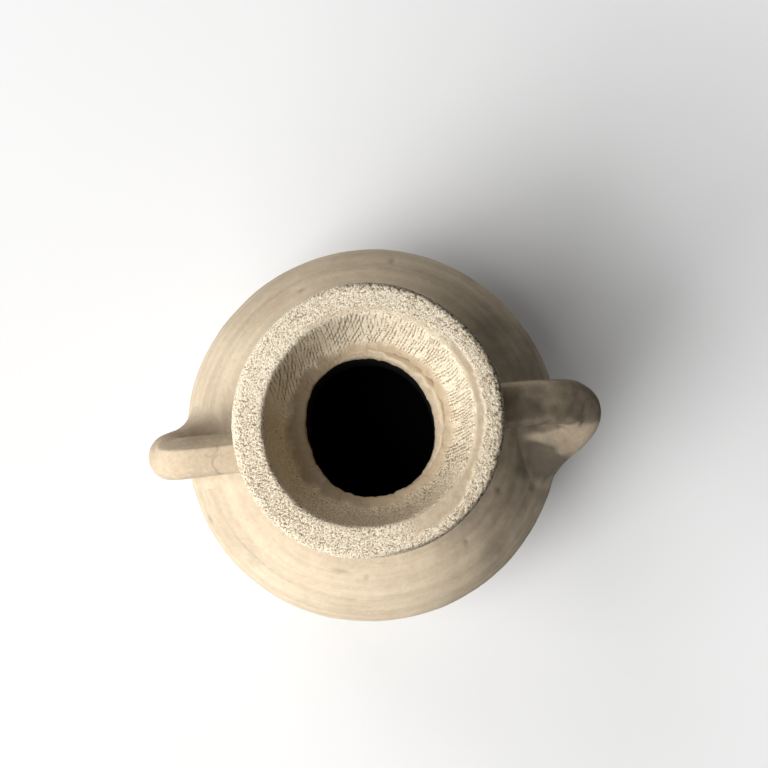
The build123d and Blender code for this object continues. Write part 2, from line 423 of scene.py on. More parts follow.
def scar_depth(points):
    """Depth of the old scars at each point, in millimetres."""
    radius, angle = polar(points)
    depth = np.zeros(radius.shape)
    for scar_radius, side, half_round, half_up, deepest in body_scars:
        turn = (angle - side + 180) % 360 - 180
        round_way = np.radians(turn) * radius / half_round
        up_way = (radius - scar_radius) / half_up
        ragged = 1 + scar_ragged * clay_noise(points, scar_ragged_size, 43)
        depth += deepest * np.exp(-(round_way**2 + up_way**2) * ragged) * (points[..., 2] > widest_height)
    return depth


print(f"{len(body_scars)} scars, up to {max(scar[-1] for scar in body_scars)} mm deep")

# %% Belly and shoulder meshes
body_around = 480
fine_gap, inner_gap, hidden_gap = 0.7, 2.2, 1.2
# The hollow inside is painted near-black as shade; the joint's groove and the scars take soil
inside_painted_shade, groove_soil, scar_soil = 1.0, 0.12, 1.2
skin_sand = 0.16
seam_lip = 0.06
cap_radius = 1.0


def body_marks(rows, lined):
    """Marks of a body piece; lined says how much of each point faces the hollow."""
    grit = grain_tone(rows)
    soil = np.clip(groove_soil * groove_share(rows) + scar_soil * scar_depth(rows), 0, 1)
    soil = np.maximum(soil * (1 - lined), inside_painted_shade * lined)
    return {"grit": grit, "sandy": np.full_like(grit, skin_sand), "soil": soil, "smoked": smoked(rows)}


def make_body_piece(name, node, profile, closed):
    """A thrown body piece with rings, groove and scars on its outside, and a near-black inside of painted
    shade.
    """
    rows = swung(profile, body_around)
    radius, _ = polar(rows)
    inner_wall = radius_at(outside, rows[..., 2]) - wall / 2
    lined = ((radius < inner_wall) & (rows[..., 2] > base_thickness / 2)).astype(float)
    pressed = groove_depth * groove_share(rows) + scar_depth(rows)
    shaped = hand_shaped(rows, body_ways(rows), -pressed * (1 - lined))
    shaped[..., 2] = np.maximum(shaped[..., 2], 0.0)
    make_piece(name, node, "body_clay", shaped, closed, body_marks(rows, lined))


base_line = np.array([[cap_radius, 0.0], [base_radius - base_edge, 0.0]])
take_off = np.array([radius_at(outside, base_edge), base_edge])
base_corner = bezier((base_line[1], (base_radius, 0.0), take_off), CURVE_SHARES)
outer_seam = np.array([radius_at(outside, seam_height), seam_height])
inner_seam = np.array([radius_at(inside, seam_height), seam_height])
inside_lip = outer_seam - [seam_lip, 0.0]
belly_profile = joined(
    spaced(base_line, hidden_gap),
    spaced(base_corner, fine_gap),
    spaced(stretch(outside, base_edge, seam_height - seam_lip), fine_gap),
    spaced(stretch(outside, seam_height - seam_lip, seam_height), seam_lip),
    spaced([outer_seam, inside_lip], seam_lip),
    spaced([inside_lip, inner_seam], hidden_gap),
    spaced(stretch(inside, base_thickness, seam_height)[::-1], inner_gap),
    spaced([(floor_radius, base_thickness), (cap_radius, base_thickness)], inner_gap),
)
shoulder_profile = joined(
    spaced(stretch(outside, seam_height, seam_height + seam_lip), seam_lip),
    spaced(stretch(outside, seam_height + seam_lip, neck_seat), fine_gap),
    straight(hidden_gap, shoulder_end, (opening_radius, neck_seat), opening_edge),
    spaced(stretch(inside, seam_height, opening_bottom)[::-1], inner_gap),
    spaced([inner_seam, inside_lip], hidden_gap),
    spaced([inside_lip, outer_seam], seam_lip),
)[:-1]
make_body_piece("thrown_belly", "belly", belly_profile, closed=False)
make_body_piece("thrown_shoulder", "shoulder", shoulder_profile, closed=True)

# %% [markdown]
# ## Neck
# The neck is a short tube set into the shoulder. All that shows of it from above is its top edge, a pale
# bead on one side of the dark throat; on the other side the mouth's clay is smeared over it. The throat
# is clearly not round: it is taller than wide, with a corner at the back left. Lobes on the bore give
# that shape without drawing it point by point.

# %% The neck and its uneven throat
neck_around = 420
neck_waist = 0.7
upper_spigot_wall, lower_spigot_wall = 2.3, 2.7
spigot_radius = throat_radius + upper_spigot_wall
lower_spigot_radius = throat_radius + lower_spigot_wall
bead_round = 1.0
# Lobes of the throat: how many, their height in millimetres, and the side they point to in degrees
throat_lobes = ((0, -0.35, 0.0), (1, 0.62, -88.0), (2, 0.9, 102.5), (3, 0.12, 0.0), (4, 0.15, 47.0))
# Where the bead is left bare: middle, half width and fade in degrees
bead_side = (30.0, 62.0, 30.0)
bead_gap, bead_turn_gap = 0.2, 0.25
bead_bump_sizes = ((2.6, 0.22), (1.1, 0.10))
bead_width, bead_wander, bead_wander_size, bead_worn = 0.9, 0.35, 2.4, (0.1, 0.5)
# Places where the bead is wider: by how much, middle, half width and fade in degrees
bead_wider = ((0.5, 0.0, 20.0, 30.0), (0.7, 98.0, 14.0, 25.0))
# The ridge along the bead: half width, height, how pale it is as a painted highlight, the size of its
# breaks and their range
ridge_half, ridge_height, ridge_painted_highlight, ridge_break, break_range = 0.26, 0.14, 1.6, 3.1, (-0.6, 0.0)
bore_blend, bore_slack = 0.3, 0.2
bead_sand, bead_smoke = 0.4, 0.18
smear_depth = 1.7
# Heights over the throat's top edge between which the bead begins and the bore's painted shade sets in
bead_heights, dark_heights = (-2.6, -1.0), (-0.9, -2.2)


def soft_corner(before, corner, after, reach_back, reach_on):
    """A rounded corner between two straight lines, which it leaves and joins at the given reaches."""
    before, corner, after = (np.asarray(point, float) for point in (before, corner, after))
    leave = corner + (before - corner) / np.linalg.norm(before - corner) * reach_back
    meet = corner + (after - corner) / np.linalg.norm(after - corner) * reach_on
    return bezier((leave, corner, meet), CURVE_SHARES)


waist = (neck_radius - 2 * neck_waist, (neck_seat + mouth_seat) / 2)
neck_outside = bezier(((neck_radius, neck_seat), waist, (neck_radius, mouth_seat)), CURVE_SHARES)
spigot_seat, spigot_edge = (spigot_radius, mouth_seat), (spigot_radius, throat_top)
throat_edge = (throat_radius, throat_top)
bead_outer = soft_corner(spigot_seat, spigot_edge, throat_edge, bead_round, bead_round)
bead_inner = soft_corner(spigot_edge, throat_edge, (throat_radius, mouth_seat), bead_round, 2 * bead_round)
lower_end = (
    (throat_radius, opening_bottom),
    (lower_spigot_radius, opening_bottom),
    (lower_spigot_radius, neck_seat),
    (neck_radius, neck_seat),
)
neck_profile = joined(
    spaced(neck_outside, fine_gap),
    straight(hidden_gap, (neck_radius, mouth_seat), spigot_seat, bead_outer[0]),
    spaced(bead_outer, bead_gap),
    spaced([bead_outer[-1], bead_inner[0]], bead_gap),
    spaced(bead_inner, bead_turn_gap),
    spaced([bead_inner[-1], lower_end[0]], fine_gap),
    straight(hidden_gap, *lower_end),
)[:-1]
neck_rows = swung(neck_profile, neck_around)
neck_reach, neck_angle = polar(neck_rows)
above_edge = neck_rows[..., 2] - throat_top
bore_share = smooth_step(spigot_radius, throat_radius + bore_blend, neck_reach)
bead_shown = sector(neck_angle, *bead_side)
in_bead = smooth_step(*bead_heights, above_edge)
bead_edge = bead_width + sum(more * sector(neck_angle, *side) for more, *side in bead_wider)
bead_edge = bead_edge + bead_wander * clay_noise(neck_rows, bead_wander_size, 48)
past_bead = neck_reach - throat_radius - bead_edge
ridge = np.exp(-((past_bead / ridge_half) ** 2)) * in_bead
ridge = ridge * smooth_step(*break_range, clay_noise(neck_rows, ridge_break, 49))
bead_bumps = in_bead * layered(neck_rows, bead_bump_sizes, 46) + ridge_height * ridge
neck_shaped = hand_shaped(neck_rows, facing(neck_rows, True), bead_bumps)
neck_shaped = lobed(neck_shaped, throat_lobes, bore_share)
neck_shaped[..., 2] -= smear_depth * (1 - bead_shown) * in_bead
in_bore = neck_reach < spigot_radius - bore_slack
# The bead's ridge is raised and also painted paler and less smoked, a painted highlight
neck_marks = {
    "grit": grain_tone(neck_rows) + ridge_painted_highlight * ridge,
    "sandy": skin_sand + bead_sand * in_bead,
    "worn": in_bead * smooth_step(*bead_worn, past_bead),
    "soil": inside_painted_shade * smooth_step(*dark_heights, above_edge) * in_bore,
    "smoked": smoked(neck_rows) * (1 - in_bead) + bead_smoke * in_bead * (1 - ridge),
}
make_piece("thrown_neck", "neck", "body_clay", neck_shaped, True, neck_marks)

# %% [markdown]
# ## Mouth
# The mouth is what the eye lands on: a thick rim of coarse, sandy clay round a scraped cup. The sand
# stands out where fine clay was wiped off, the cup keeps the slanted marks of a scraper on two sides, and
# years of pouring have worn the inner edge smooth on one side. All of these are heights in the mesh,
# faded in and out by smooth masks over angle and height.

# %% The mouth's profile
mouth_around = 640
rim_width = 8.1
rim_drop = 0.8
rim_depth = 6.0
rim_undercut = 1.6
rim_inner_round = 1.3
rim_outer_round = 2.2
cup_floor_run, cup_floor_rise = 5.5, 4.0
cup_wall_run, cup_wall_rise = 1.6, 10.0
flare_rise, flare_run, flare_drop = 9.0, 6.0, 4.5
throat_bead = 0.8
smear_inset = 0.4
rim_gap, cup_gap, side_gap, flare_gap = 0.26, 0.34, 0.6, 1.3
# Point of the cup's curve that shows its slope at the edge
near_edge = 6

cup_radius = mouth_radius - rim_width
lip = np.array([mouth_radius - rim_undercut, rim_top - rim_depth])
lip_turn = lip + rim_undercut
rim_corner = np.array([mouth_radius, rim_top - rim_drop])
cup_edge = np.array([cup_radius, rim_top])
cup_floor = np.array([spigot_radius, throat_top - throat_bead])
smear_edge = np.array([throat_radius + smear_inset, throat_top - smear_depth])
smear_foot = smear_edge - [0, smear_depth]
socket = np.array([spigot_radius, smear_foot[1]])
seat = np.array([neck_radius, mouth_seat])
flare = bezier((seat, seat + [0, flare_rise], lip - [flare_run, flare_drop], lip), CURVE_SHARES)
cup_slope = np.array([cup_floor_run, cup_floor_rise])
cup_corners = (cup_edge, cup_edge - [cup_wall_run, cup_wall_rise], cup_floor + cup_slope, cup_floor)
cup = bezier(cup_corners, CURVE_SHARES)
smear_over = bezier((cup_floor, cup_floor - cup_slope / 4, smear_edge, smear_foot), CURVE_SHARES)
outer_round = soft_corner(lip_turn, rim_corner, cup_edge, rim_outer_round, rim_outer_round)
inner_round = soft_corner(rim_corner, cup_edge, cup[near_edge], rim_inner_round, rim_inner_round)
cup_wall = np.vstack([inner_round[-1:], cup[cup[:, 1] < inner_round[-1, 1]]])
mouth_profile = joined(
    spaced(flare, flare_gap),
    straight(side_gap, lip, lip_turn, outer_round[0]),
    spaced(outer_round, rim_gap),
    spaced([outer_round[-1], inner_round[0]], rim_gap),
    spaced(inner_round, rim_gap),
    spaced(cup_wall, cup_gap),
    spaced(smear_over, cup_gap),
    straight(hidden_gap, smear_foot, socket, spigot_seat, seat),
)[:-1]
print(f"mouth profile of {len(mouth_profile)} points")

# %% Masks over the mouth
# Sides that look different: middle, half width and fade in degrees from the right handle towards the back
mouth_sides = {
    "worn_right": (-20.0, 44.0, 20.0),
    "wide_wear": (-64.0, 12.0, 16.0),
    "worn_back": (66.0, 42.0, 22.0),
    "coarse_rim": (14.0, 66.0, 36.0),
    "coarse_cup": (-50.0, 20.0, 14.0),
    "sandy_front": (-104.0, 34.0, 26.0),
    "smooth_left": (184.0, 36.0, 24.0),
    "scratches": (205.0, 24.0, 18.0),
    "thin_smear": (8.0, 34.0, 24.0),
    "back_left": (118.0, 30.0, 24.0),
    "pale_cup": (84.0, 58.0, 30.0),
    "pale_rim": (80.0, 50.0, 40.0),
    "pale_crest": (-12.0, 42.0, 20.0),
    "dusty_left": (184.0, 56.0, 40.0),
    "dusty_front": (-62.0, 14.0, 30.0),
    "dusty_right": (0.0, 50.0, 50.0),
    "sooty_edge": (-4.0, 66.0, 40.0),
    "brown_cup": (-80.0, 22.0, 28.0),
    "brown_rim": (-30.0, 40.0, 30.0),
}
# Depths below the rim's top, and heights above the throat's ring, between which a mask fades
rim_sand_depths, cup_depths, wear_depths = (4.6, 2.6), (0.2, 0.8), (1.3, 0.6)
funnel_heights, cup_lowest = (-0.6, 1.6), -3.0
crest_slack, cup_slack = 0.2, 0.6
# Uneven edges of the masks, and mottling of the worn clay: size and height of each noise
edge_wander_sizes, funnel_wander = ((3.6, 0.6), (1.3, 0.35)), 1.4
rubbed_mean, rubbed_most, rubbed_sizes = 0.85, 1.2, ((1.7, 0.5), (0.7, 0.3))
# Worn band: width, what is added where it is widest, and fade; at the back its width, fade and share
right_width, right_wider, right_fade = 3.4, 1.8, 1.0
back_width, back_fade, back_share = 2.4, 1.5, 0.55

mouth_rows = swung(mouth_profile, mouth_around)
mouth_reach, mouth_angle = polar(mouth_rows)
mouth_height = mouth_rows[..., 2]
below_rim, above_ring = rim_top - mouth_height, mouth_height - throat_top
# How far each point lies within each side, from 0 to 1
at = {name: sector(mouth_angle, *spread) for name, spread in mouth_sides.items()}
edge_wander = layered(mouth_rows, edge_wander_sizes, 51)
inner_side = np.arange(len(mouth_profile))[:, None] >= np.argmax(mouth_profile[:, 1])
past_crest = mouth_reach > cup_radius - crest_slack
on_rim = smooth_step(*rim_sand_depths, below_rim) * past_crest
in_cup = inner_side * (mouth_reach < cup_radius + cup_slack) * (above_ring > cup_lowest)
in_cup = in_cup * smooth_step(*cup_depths, below_rim)
above_funnel = smooth_step(*funnel_heights, above_ring + funnel_wander * edge_wander) * in_cup
from_crest = mouth_reach - cup_radius + edge_wander
right_band = right_width + right_wider * at["wide_wear"]
right_wear = at["worn_right"] * smooth_step(right_band, right_band - right_fade, from_crest)
back_wear = at["worn_back"] * smooth_step(back_width, back_width - back_fade, from_crest)
worn = np.maximum(right_wear, back_share * back_wear) * past_crest * smooth_step(*wear_depths, below_rim)
rubbed = np.clip(rubbed_mean + layered(mouth_rows, rubbed_sizes, 55), 0, rubbed_most)
print(f"worn edge covers {100 * float((worn > 0.5).mean()):.1f} % of the points")

# %% Sand on the rim and in the cup
# Sand bumps: size and height in millimetres
sand_sizes = ((0.56, 0.105), (0.36, 0.07))
sand_full, sand_most, worn_off = 0.13, 1.3, 0.8
pit_size, pit_depth, pit_levels = 0.68, 0.16, (0.26, 0.60)
# How pitted the clay is everywhere, and what the coarse cup, uneven patches and the coarse outer edge add
pit_base, pit_cup, pit_patch, pit_patch_size, pit_edge = 0.3, 1.1, 0.45, 7.0, 1.3
pit_least, pit_most, edge_pit_growth = 0.05, 1.7, 0.14
coarse_edge_widths = (3.6, 0.9)
# How sandy the cup is, what its coarse side and its front add, and what is missing on the smooth left
cup_base, cup_coarse, cup_front, cup_smooth = 0.75, 0.6, 0.4, 0.25

coarse_edge = at["coarse_rim"] * smooth_step(*coarse_edge_widths, mouth_radius - mouth_reach)
coarse_cup = at["coarse_cup"] * above_funnel
pitted = pit_base + pit_patch * clay_noise(mouth_rows, pit_patch_size, 61)
pitted = np.clip(pitted + pit_cup * coarse_cup + pit_edge * coarse_edge, pit_least, pit_most)
pits = smooth_step(*pit_levels, clay_noise(mouth_rows, pit_size, 62) + edge_pit_growth * coarse_edge)
cup_sand = cup_base + cup_coarse * coarse_cup + cup_front * at["sandy_front"]
cup_sand = above_funnel * cup_sand * (1 - cup_smooth * at["smooth_left"])
sand_share = np.clip(on_rim * (1 - worn_off * worn) + cup_sand, 0, sand_most)
sand = (layered(mouth_rows, sand_sizes, 63) - pit_depth * pits * pitted) * sand_share
print(f"sand from {sand.min():.2f} to {sand.max():.2f} mm")

# %% Scraper marks in the cup and scratches on the rim
stroke_spacing, stroke_depth, stroke_most = 0.8, 0.12, 1.2
scratch_way, scratch_spacing, scratch_depth = 150.0, 0.9, 0.09
# Families of marks, all in degrees: way they run in plan, middle of their sector, its half width and fade
mark_families = (
    (13.0, 4.0, 32.0, 12.0),
    (42.0, 70.0, 30.0, 16.0),
    (96.0, 116.0, 30.0, 22.0),
    (72.0, 134.0, 12.0, 16.0),
)
# How far the marks wander, and cells along, beside and up a mark in which they wander and break off
stroke_wander, wander_cell, break_cell = 0.5, (14.0, 4.0, 20.0), (4.0, 0.7, 8.0)
line_levels, break_levels = (0.0, 0.95), (-0.55, 0.25)


def strokes(degrees, spacing, seed):
    """Thin broken grooves from 0 to 1 that run one way in plan."""
    along = heading(degrees)
    run = mouth_rows[..., 0] * along[0] + mouth_rows[..., 1] * along[1]
    beside = mouth_rows[..., 1] * along[0] - mouth_rows[..., 0] * along[1]
    place = np.stack([run, beside, mouth_height], axis=-1)
    wander = stroke_wander * clay_noise(place / wander_cell, 1.0, seed)
    broken = clay_noise(place / break_cell, 1.0, seed + 1)
    line = np.sin(math.tau * (beside / spacing + wander))
    return smooth_step(*line_levels, line) * smooth_step(*break_levels, broken)


scraped = np.zeros(mouth_reach.shape)
for step, (way, *spread) in enumerate(mark_families):
    scraped += sector(mouth_angle, *spread) * strokes(way, stroke_spacing, 71 + 2 * step) * above_funnel
scraped = np.minimum(scraped, stroke_most)
scratched = strokes(scratch_way, scratch_spacing, 78) * on_rim * at["scratches"]
print(f"scraper marks cover {100 * float((scraped > 0.5).mean()):.1f} % of the points")

# %% Pits in the rim and clay smeared over the throat's ring
# Deep pits in the rim's top: radius, angle in degrees, half width, depth
rim_pits = (
    (33.4, -129.0, 0.55, 0.5),
    (33.6, -122.4, 0.5, 0.5),
    (33.5, -120.7, 0.45, 0.45),
    (32.5, 4.5, 0.5, 0.5),
)
# Smeared clay: thickness, how much thinner it is at the right, its bumps, and its least and most
smear_mean, smear_thinner, smear_sizes, smear_range = 1.05, 0.25, ((3.4, 0.6), (1.2, 0.35)), (0.2, 1.5)
smear_outer, smear_inner, smear_lowest = (2.4, -0.1), (0.1, 0.9), -2.2

rim_pit_depth = np.zeros(mouth_reach.shape)
for pit_reach, pit_side, pit_half, pit_deep in rim_pits:
    pit_place = pit_reach * np.append(heading(pit_side), 0) + [0, 0, rim_top]
    away = np.linalg.norm(mouth_rows - pit_place, axis=-1) / pit_half
    rim_pit_depth += pit_deep * np.exp(-(away**4)) * on_rim
by_ring = smooth_step(*smear_outer, mouth_reach - spigot_radius) * (above_ring > smear_lowest)
by_ring = by_ring * inner_side * smooth_step(*smear_inner, mouth_reach - throat_radius)
smear = smear_mean - smear_thinner * at["thin_smear"] + layered(mouth_rows, smear_sizes, 53)
smear_lift = by_ring * np.clip(smear, *smear_range)
print(f"smeared clay up to {smear_lift.max():.2f} mm thick")

# %% Tones of the mouth
# Cream lightens clean clay: in the whole cup and on its pale sides, and on the whole rim and its pale
# side; at the back left of the cup the extra cream is painted light on the ridges between scraper marks
cup_cream, pale_cup_cream, back_left_painted_light = 0.2, 0.4, 0.95
rim_cream, pale_rim_cream = 0.14, 0.22
# The thin pale line along the worn crest: place, half width, depth, size of its breaks, tone
crest_place, crest_half, crest_depth, crest_break, crest_tone = -0.1, 0.2, 1.6, 2.2, 0.6
crest_levels = (-0.4, 0.3)
# At the back left the scraper grooves are darkened further, as painted shade
stroke_tone, back_left_painted_groove_shade, scratch_tone = 1.6, 0.6, 0.5
tone_range = (-1.6, 1.5)
# Painted shade darkens the left funnel, which the left rim shades, and the worn front edge; the right
# funnel gets a little dust
left_funnel_shade, right_dust, front_edge_shade = 0.4, 0.14, 0.16
edge_shade_strength, edge_shade_depths, edge_shade_widths, edge_shade_wander = 0.75, (5.0, 2.0), (1.3, 0.4), 0.4
# The front of the cup is browned, partly as its own mottling and partly as painted shade
cup_brown_and_shade, rim_brown = 0.3, 0.2
# The throat below its ring is painted near-black as shade
throat_shade_heights = (-1.6, -2.6)
pit_soil = 1.6

clean_rim = on_rim * (1 - worn)
cream = above_funnel * (cup_cream + pale_cup_cream * at["pale_cup"] + back_left_painted_light * at["back_left"])
cream += clean_rim * (rim_cream + pale_rim_cream * at["pale_rim"])
crest_line = np.exp(-(((from_crest - crest_place) / crest_half) ** 2)) * at["pale_crest"]
crest_line = crest_line * (below_rim < crest_depth)
crest_line = crest_line * smooth_step(*crest_levels, clay_noise(mouth_rows, crest_break, 57))
stroke_dark = scraped * (stroke_tone + back_left_painted_groove_shade * at["back_left"])
mouth_grit = sand / sand_full + cream + crest_tone * crest_line - stroke_dark - scratch_tone * scratched
funnel = in_cup * (1 - above_funnel) * (mouth_reach > throat_radius)
dust_and_painted_shade = funnel * (left_funnel_shade * at["dusty_left"] + right_dust * at["dusty_right"])
dust_and_painted_shade += front_edge_shade * worn * at["dusty_front"]
# Painted shade on the rim's outer edge at the right, the side that faces away from the light
painted_edge_shade = edge_shade_strength * at["sooty_edge"] * smooth_step(*edge_shade_depths, below_rim)
painted_edge_shade = painted_edge_shade * smooth_step(*edge_shade_widths, mouth_radius - mouth_reach - edge_shade_wander * edge_wander)
flare_smoke = smoked(mouth_rows) * (1 - on_rim) * ~inner_side
browned = cup_brown_and_shade * above_funnel * at["brown_cup"] + rim_brown * clean_rim * at["brown_rim"]
shaded_throat = smooth_step(*throat_shade_heights, above_ring) * (mouth_reach < spigot_radius)
mouth_marks = {
    "grit": np.clip(mouth_grit, *tone_range),
    "sandy": np.clip(sand_share + scraped, skin_sand, 1),
    "worn": np.maximum(worn * rubbed * (1 - crest_line), funnel) + browned,
    "soil": np.clip(pit_soil * rim_pit_depth + inside_painted_shade * shaded_throat, 0, 1),
    "smoked": np.clip(np.maximum(flare_smoke, painted_edge_shade) + dust_and_painted_shade, 0, 1),
}
print(f"soot on {100 * float((painted_edge_shade > 0.3).mean()):.1f} % of the points")

# %% Mouth mesh
worn_fall = 0.25
rim_ring_share = 0.5
cup_blend = 0.6
rim_lobes = ((2, 0.20, 70.0), (3, 0.16, -30.0), (5, 0.08, 15.0))
pressed_in = stroke_depth * scraped + scratch_depth * scratched + rim_pit_depth + worn_fall * worn
mouth_extra = sand + smear_lift - pressed_in
mouth_shaped = hand_shaped(mouth_rows, facing(mouth_rows, True), mouth_extra, rim_ring_share)
by_bore = smooth_step(spigot_radius, throat_radius + cup_blend, mouth_reach)
mouth_shaped = lobed(mouth_shaped, throat_lobes, by_bore)
mouth_shaped = lobed(mouth_shaped, rim_lobes, smooth_step(throat_top, rim_top, mouth_height))
make_piece("cup_mouth", "mouth", "mouth_clay", mouth_shaped, True, mouth_marks)

# %% [markdown]
# ## Luting coils
# Where neck and shoulder meet, and where the mouth sits on the neck, a thin coil of soft clay was pressed
# in and smoothed. Both coils are rings with a small section. Their height wanders more than the thrown
# walls do, because a coil is pressed by hand, one thumb's width at a time.

# %% Coil meshes
coil_around = 360
coil_gap = 0.4
neck_coil_rise, neck_coil_run = 3.2, 4.4
mouth_coil_half, mouth_coil_crown = 1.1, 0.45
coil_sink = 0.8
thumb_width, thumb_height, thumb_soil = 7.0, 0.16, 0.2

coil_top = np.array([neck_radius, neck_seat + neck_coil_rise])
coil_edge = np.array([neck_radius + neck_coil_run, neck_seat - neck_coil_run / 2])
coil_hollow = (neck_radius + neck_waist, neck_seat + neck_waist)
coil_face = bezier((coil_edge, coil_hollow, coil_top), CURVE_SHARES)
coil_inside = np.array([neck_radius - coil_sink, coil_edge[1] - coil_sink])
coil_back_top, coil_back_foot = (coil_inside[0], coil_top[1]), (coil_edge[0], coil_inside[1])
neck_coil_profile = joined(
    spaced(coil_face, coil_gap),
    straight(hidden_gap, coil_top, coil_back_top, coil_inside, coil_back_foot, coil_edge),
)[:-1]
seam_low = np.array([neck_radius, mouth_seat - mouth_coil_half])
seam_high = np.array([neck_radius, mouth_seat + mouth_coil_half])
seam_crown = (neck_radius + 2 * mouth_coil_crown, mouth_seat)
seam_root = (neck_radius - coil_sink, mouth_seat)
mouth_coil_profile = joined(
    spaced(bezier((seam_low, seam_crown, seam_high), CURVE_SHARES), coil_gap / 2),
    straight(coil_gap, seam_high, seam_root, seam_low),
)[:-1]


def make_luting(name, node, rows, smoke=skin_smoke, pressing=1.0, extra=0.0):
    """A piece of pressed luting clay over rows of rings, with an extra height on a handle."""
    pressed = pressing * thumb_height * clay_noise(rows, thumb_width, 81)
    scars = scar_depth(rows)
    shaped = hand_shaped(rows, facing(rows, True), pressed - scars + extra, ring_share=0.0)
    grit = grain_tone(rows)
    sandy = np.full_like(grit, skin_sand)
    soil = np.clip(-pressed, 0, thumb_soil) + scar_soil * scars
    marks = {"grit": grit, "sandy": sandy, "soil": soil, "smoked": smoked(rows, smoke)}
    make_piece(name, node, "luting_clay", shaped, True, marks)


make_luting("neck_luting_coil", "neck_root_coil", swung(neck_coil_profile, coil_around))
make_luting("mouth_luting_coil", "mouth_seam_coil", swung(mouth_coil_profile, coil_around))

# %% [markdown]
# ## Handles
# Each handle is a roll of clay, a little wider than thick, bent from the neck over an elbow down to the
# shoulder. The thumb that smoothed it has left a flat along its top, and on the left one along the back
# too. A curve with a bevel would make a tube, but its ends have to lie on the pot. So every long line of
# the roll is followed until it dips just under the pot's surface, and the mesh ends there.

# %% The roll's path and section
handle_width, handle_thickness = 12.2, 10.0
root_swell, foot_swell = 0.8, 2.4
root_inset, strap_run = 4.0, 26.0
root_rise, strap_rise, elbow_rise = 8.8, 9.5, 6.0
foot_inset, foot_depth = 9.0, 11.0
widest_share = 0.7
# Side of the flask in degrees, reach beyond the widest ring, and turns of root, elbow and foot in degrees
handle_places = {
    "right": {"side": 0.0, "stand_out": 8.2, "root": 0.4, "elbow": 0.8, "foot": -17.0},
    "left": {"side": 180.0, "stand_out": 5.7, "root": 2.8, "elbow": 0.5, "foot": -4.0},
}
# Flats along the strap: turn round the section in degrees, and distance from the roll's middle
handle_flats = {"right": ((90.0, 3.7),), "left": ((150.0, 3.7), (80.0, 4.5))}
flat_edge = 0.5
flat_start, flat_end = (0.0, 0.22), (0.82, 0.5)


def around_axis(radius, degrees, height):
    """Point at a radius from the flask's axis, an angle about it and a height."""
    return np.append(radius * heading(degrees), height)


def handle_corners(side, stand_out, root, elbow, foot):
    """The four corners of a handle's centre line."""
    root_radius, foot_radius = neck_radius - root_inset, body_radius - foot_inset
    strap_radius, root_height = root_radius + strap_run, neck_seat + root_rise
    widest = body_radius + stand_out - handle_thickness / 2
    start, end = 1 - widest_share, widest_share
    others = start**3 * root_radius + 3 * start**2 * end * strap_radius + end**3 * foot_radius
    elbow_radius = (widest - others) / (3 * start * end**2)
    return (
        around_axis(root_radius, side + root, root_height),
        around_axis(strap_radius, side + root, root_height + strap_rise),
        around_axis(elbow_radius, side + elbow, root_height + elbow_rise),
        around_axis(foot_radius, side + foot, seam_height - foot_depth),
    )


def unit(vectors):
    """Vectors made one long."""
    return vectors / np.linalg.norm(vectors, axis=-1, keepdims=True)


def roll_point(side, share, turn):
    """Point on the surface of one side's roll at a share of its length and a turn round its section."""
    corners = handle_corners(**handle_places[side])
    share, turn = np.broadcast_arrays(share, turn)
    ahead = unit(bezier(np.diff(corners, axis=0), share))
    across = unit(np.cross([0.0, 0.0, 1.0], ahead))
    above = np.cross(ahead, across)
    swell = root_swell * (1 - share) ** 4 + foot_swell * share**4
    wide = np.cos(turn) * (handle_width + swell) / 2
    thick = np.sin(turn) * (handle_thickness + swell) / 2
    flat_share = smooth_step(*flat_start, share) * smooth_step(*flat_end, share)
    for way, distance in handle_flats[side]:
        along, up = heading(way)
        over = wide * along + thick * up - distance
        pressed = flat_share * (over + np.hypot(over, flat_edge)) / 2
        wide, thick = wide - pressed * along, thick - pressed * up
    return bezier(corners, share) + wide[..., None] * across + thick[..., None] * above


print("elbow corners:", [handle_corners(**place)[2].round(1).tolist() for place in handle_places.values()])

# %% Where the roll meets the pot
pot_line = joined(
    stretch(outside, 0.0, coil_edge[1]), coil_face, stretch(neck_outside, coil_top[1], mouth_seat), flare
)
halvings = 22


def pot_radius(height):
    """Outer radius of the pot at a height, luting coil included."""
    return np.interp(height, pot_line[:, 1], pot_line[:, 0])


def pot_facing(points):
    """Unit normals of the pot's outside nearest to points."""
    slope = pot_radius(points[..., 2] + 0.5) - pot_radius(points[..., 2] - 0.5)
    outwards = np.stack([points[..., 0], points[..., 1], np.zeros_like(slope)], axis=-1)
    normal = unit(outwards)
    normal[..., 2] = -slope
    return unit(normal)


def onto_pot(points):
    """Points moved in or out from the axis onto the pot's outside."""
    radius, _ = polar(points)
    scale = pot_radius(points[..., 2]) / radius
    return points * np.stack([scale, scale, np.ones_like(scale)], axis=-1)


def meeting_share(side, turn, inner_share, outer_share, depth):
    """Share at which each long line of the roll is one depth under the pot's surface."""
    buried_at, clear_at = np.full(turn.shape, inner_share), np.full(turn.shape, outer_share)
    for _ in range(halvings):
        middle = (buried_at + clear_at) / 2
        spot = roll_point(side, middle, turn)
        buried = polar(spot)[0] < pot_radius(spot[..., 2]) - depth
        buried_at, clear_at = np.where(buried, middle, buried_at), np.where(buried, clear_at, middle)
    return clear_at


print(f"pot radius at the neck {pot_radius(mouth_seat - 3):.1f} mm")

# %% Handle meshes
handle_around, handle_rows = 132, 260
handle_sink = 0.7
# Shares of the roll between which each of its ends is looked for
root_search, foot_search = (0.0, 0.4), (1.0, 0.6)
handle_lumps, lump_rise = ((15.0, 0.26), (6.5, 0.12)), 6.0
strap_smoke, painted_lit_smoke = 0.74, 0.33
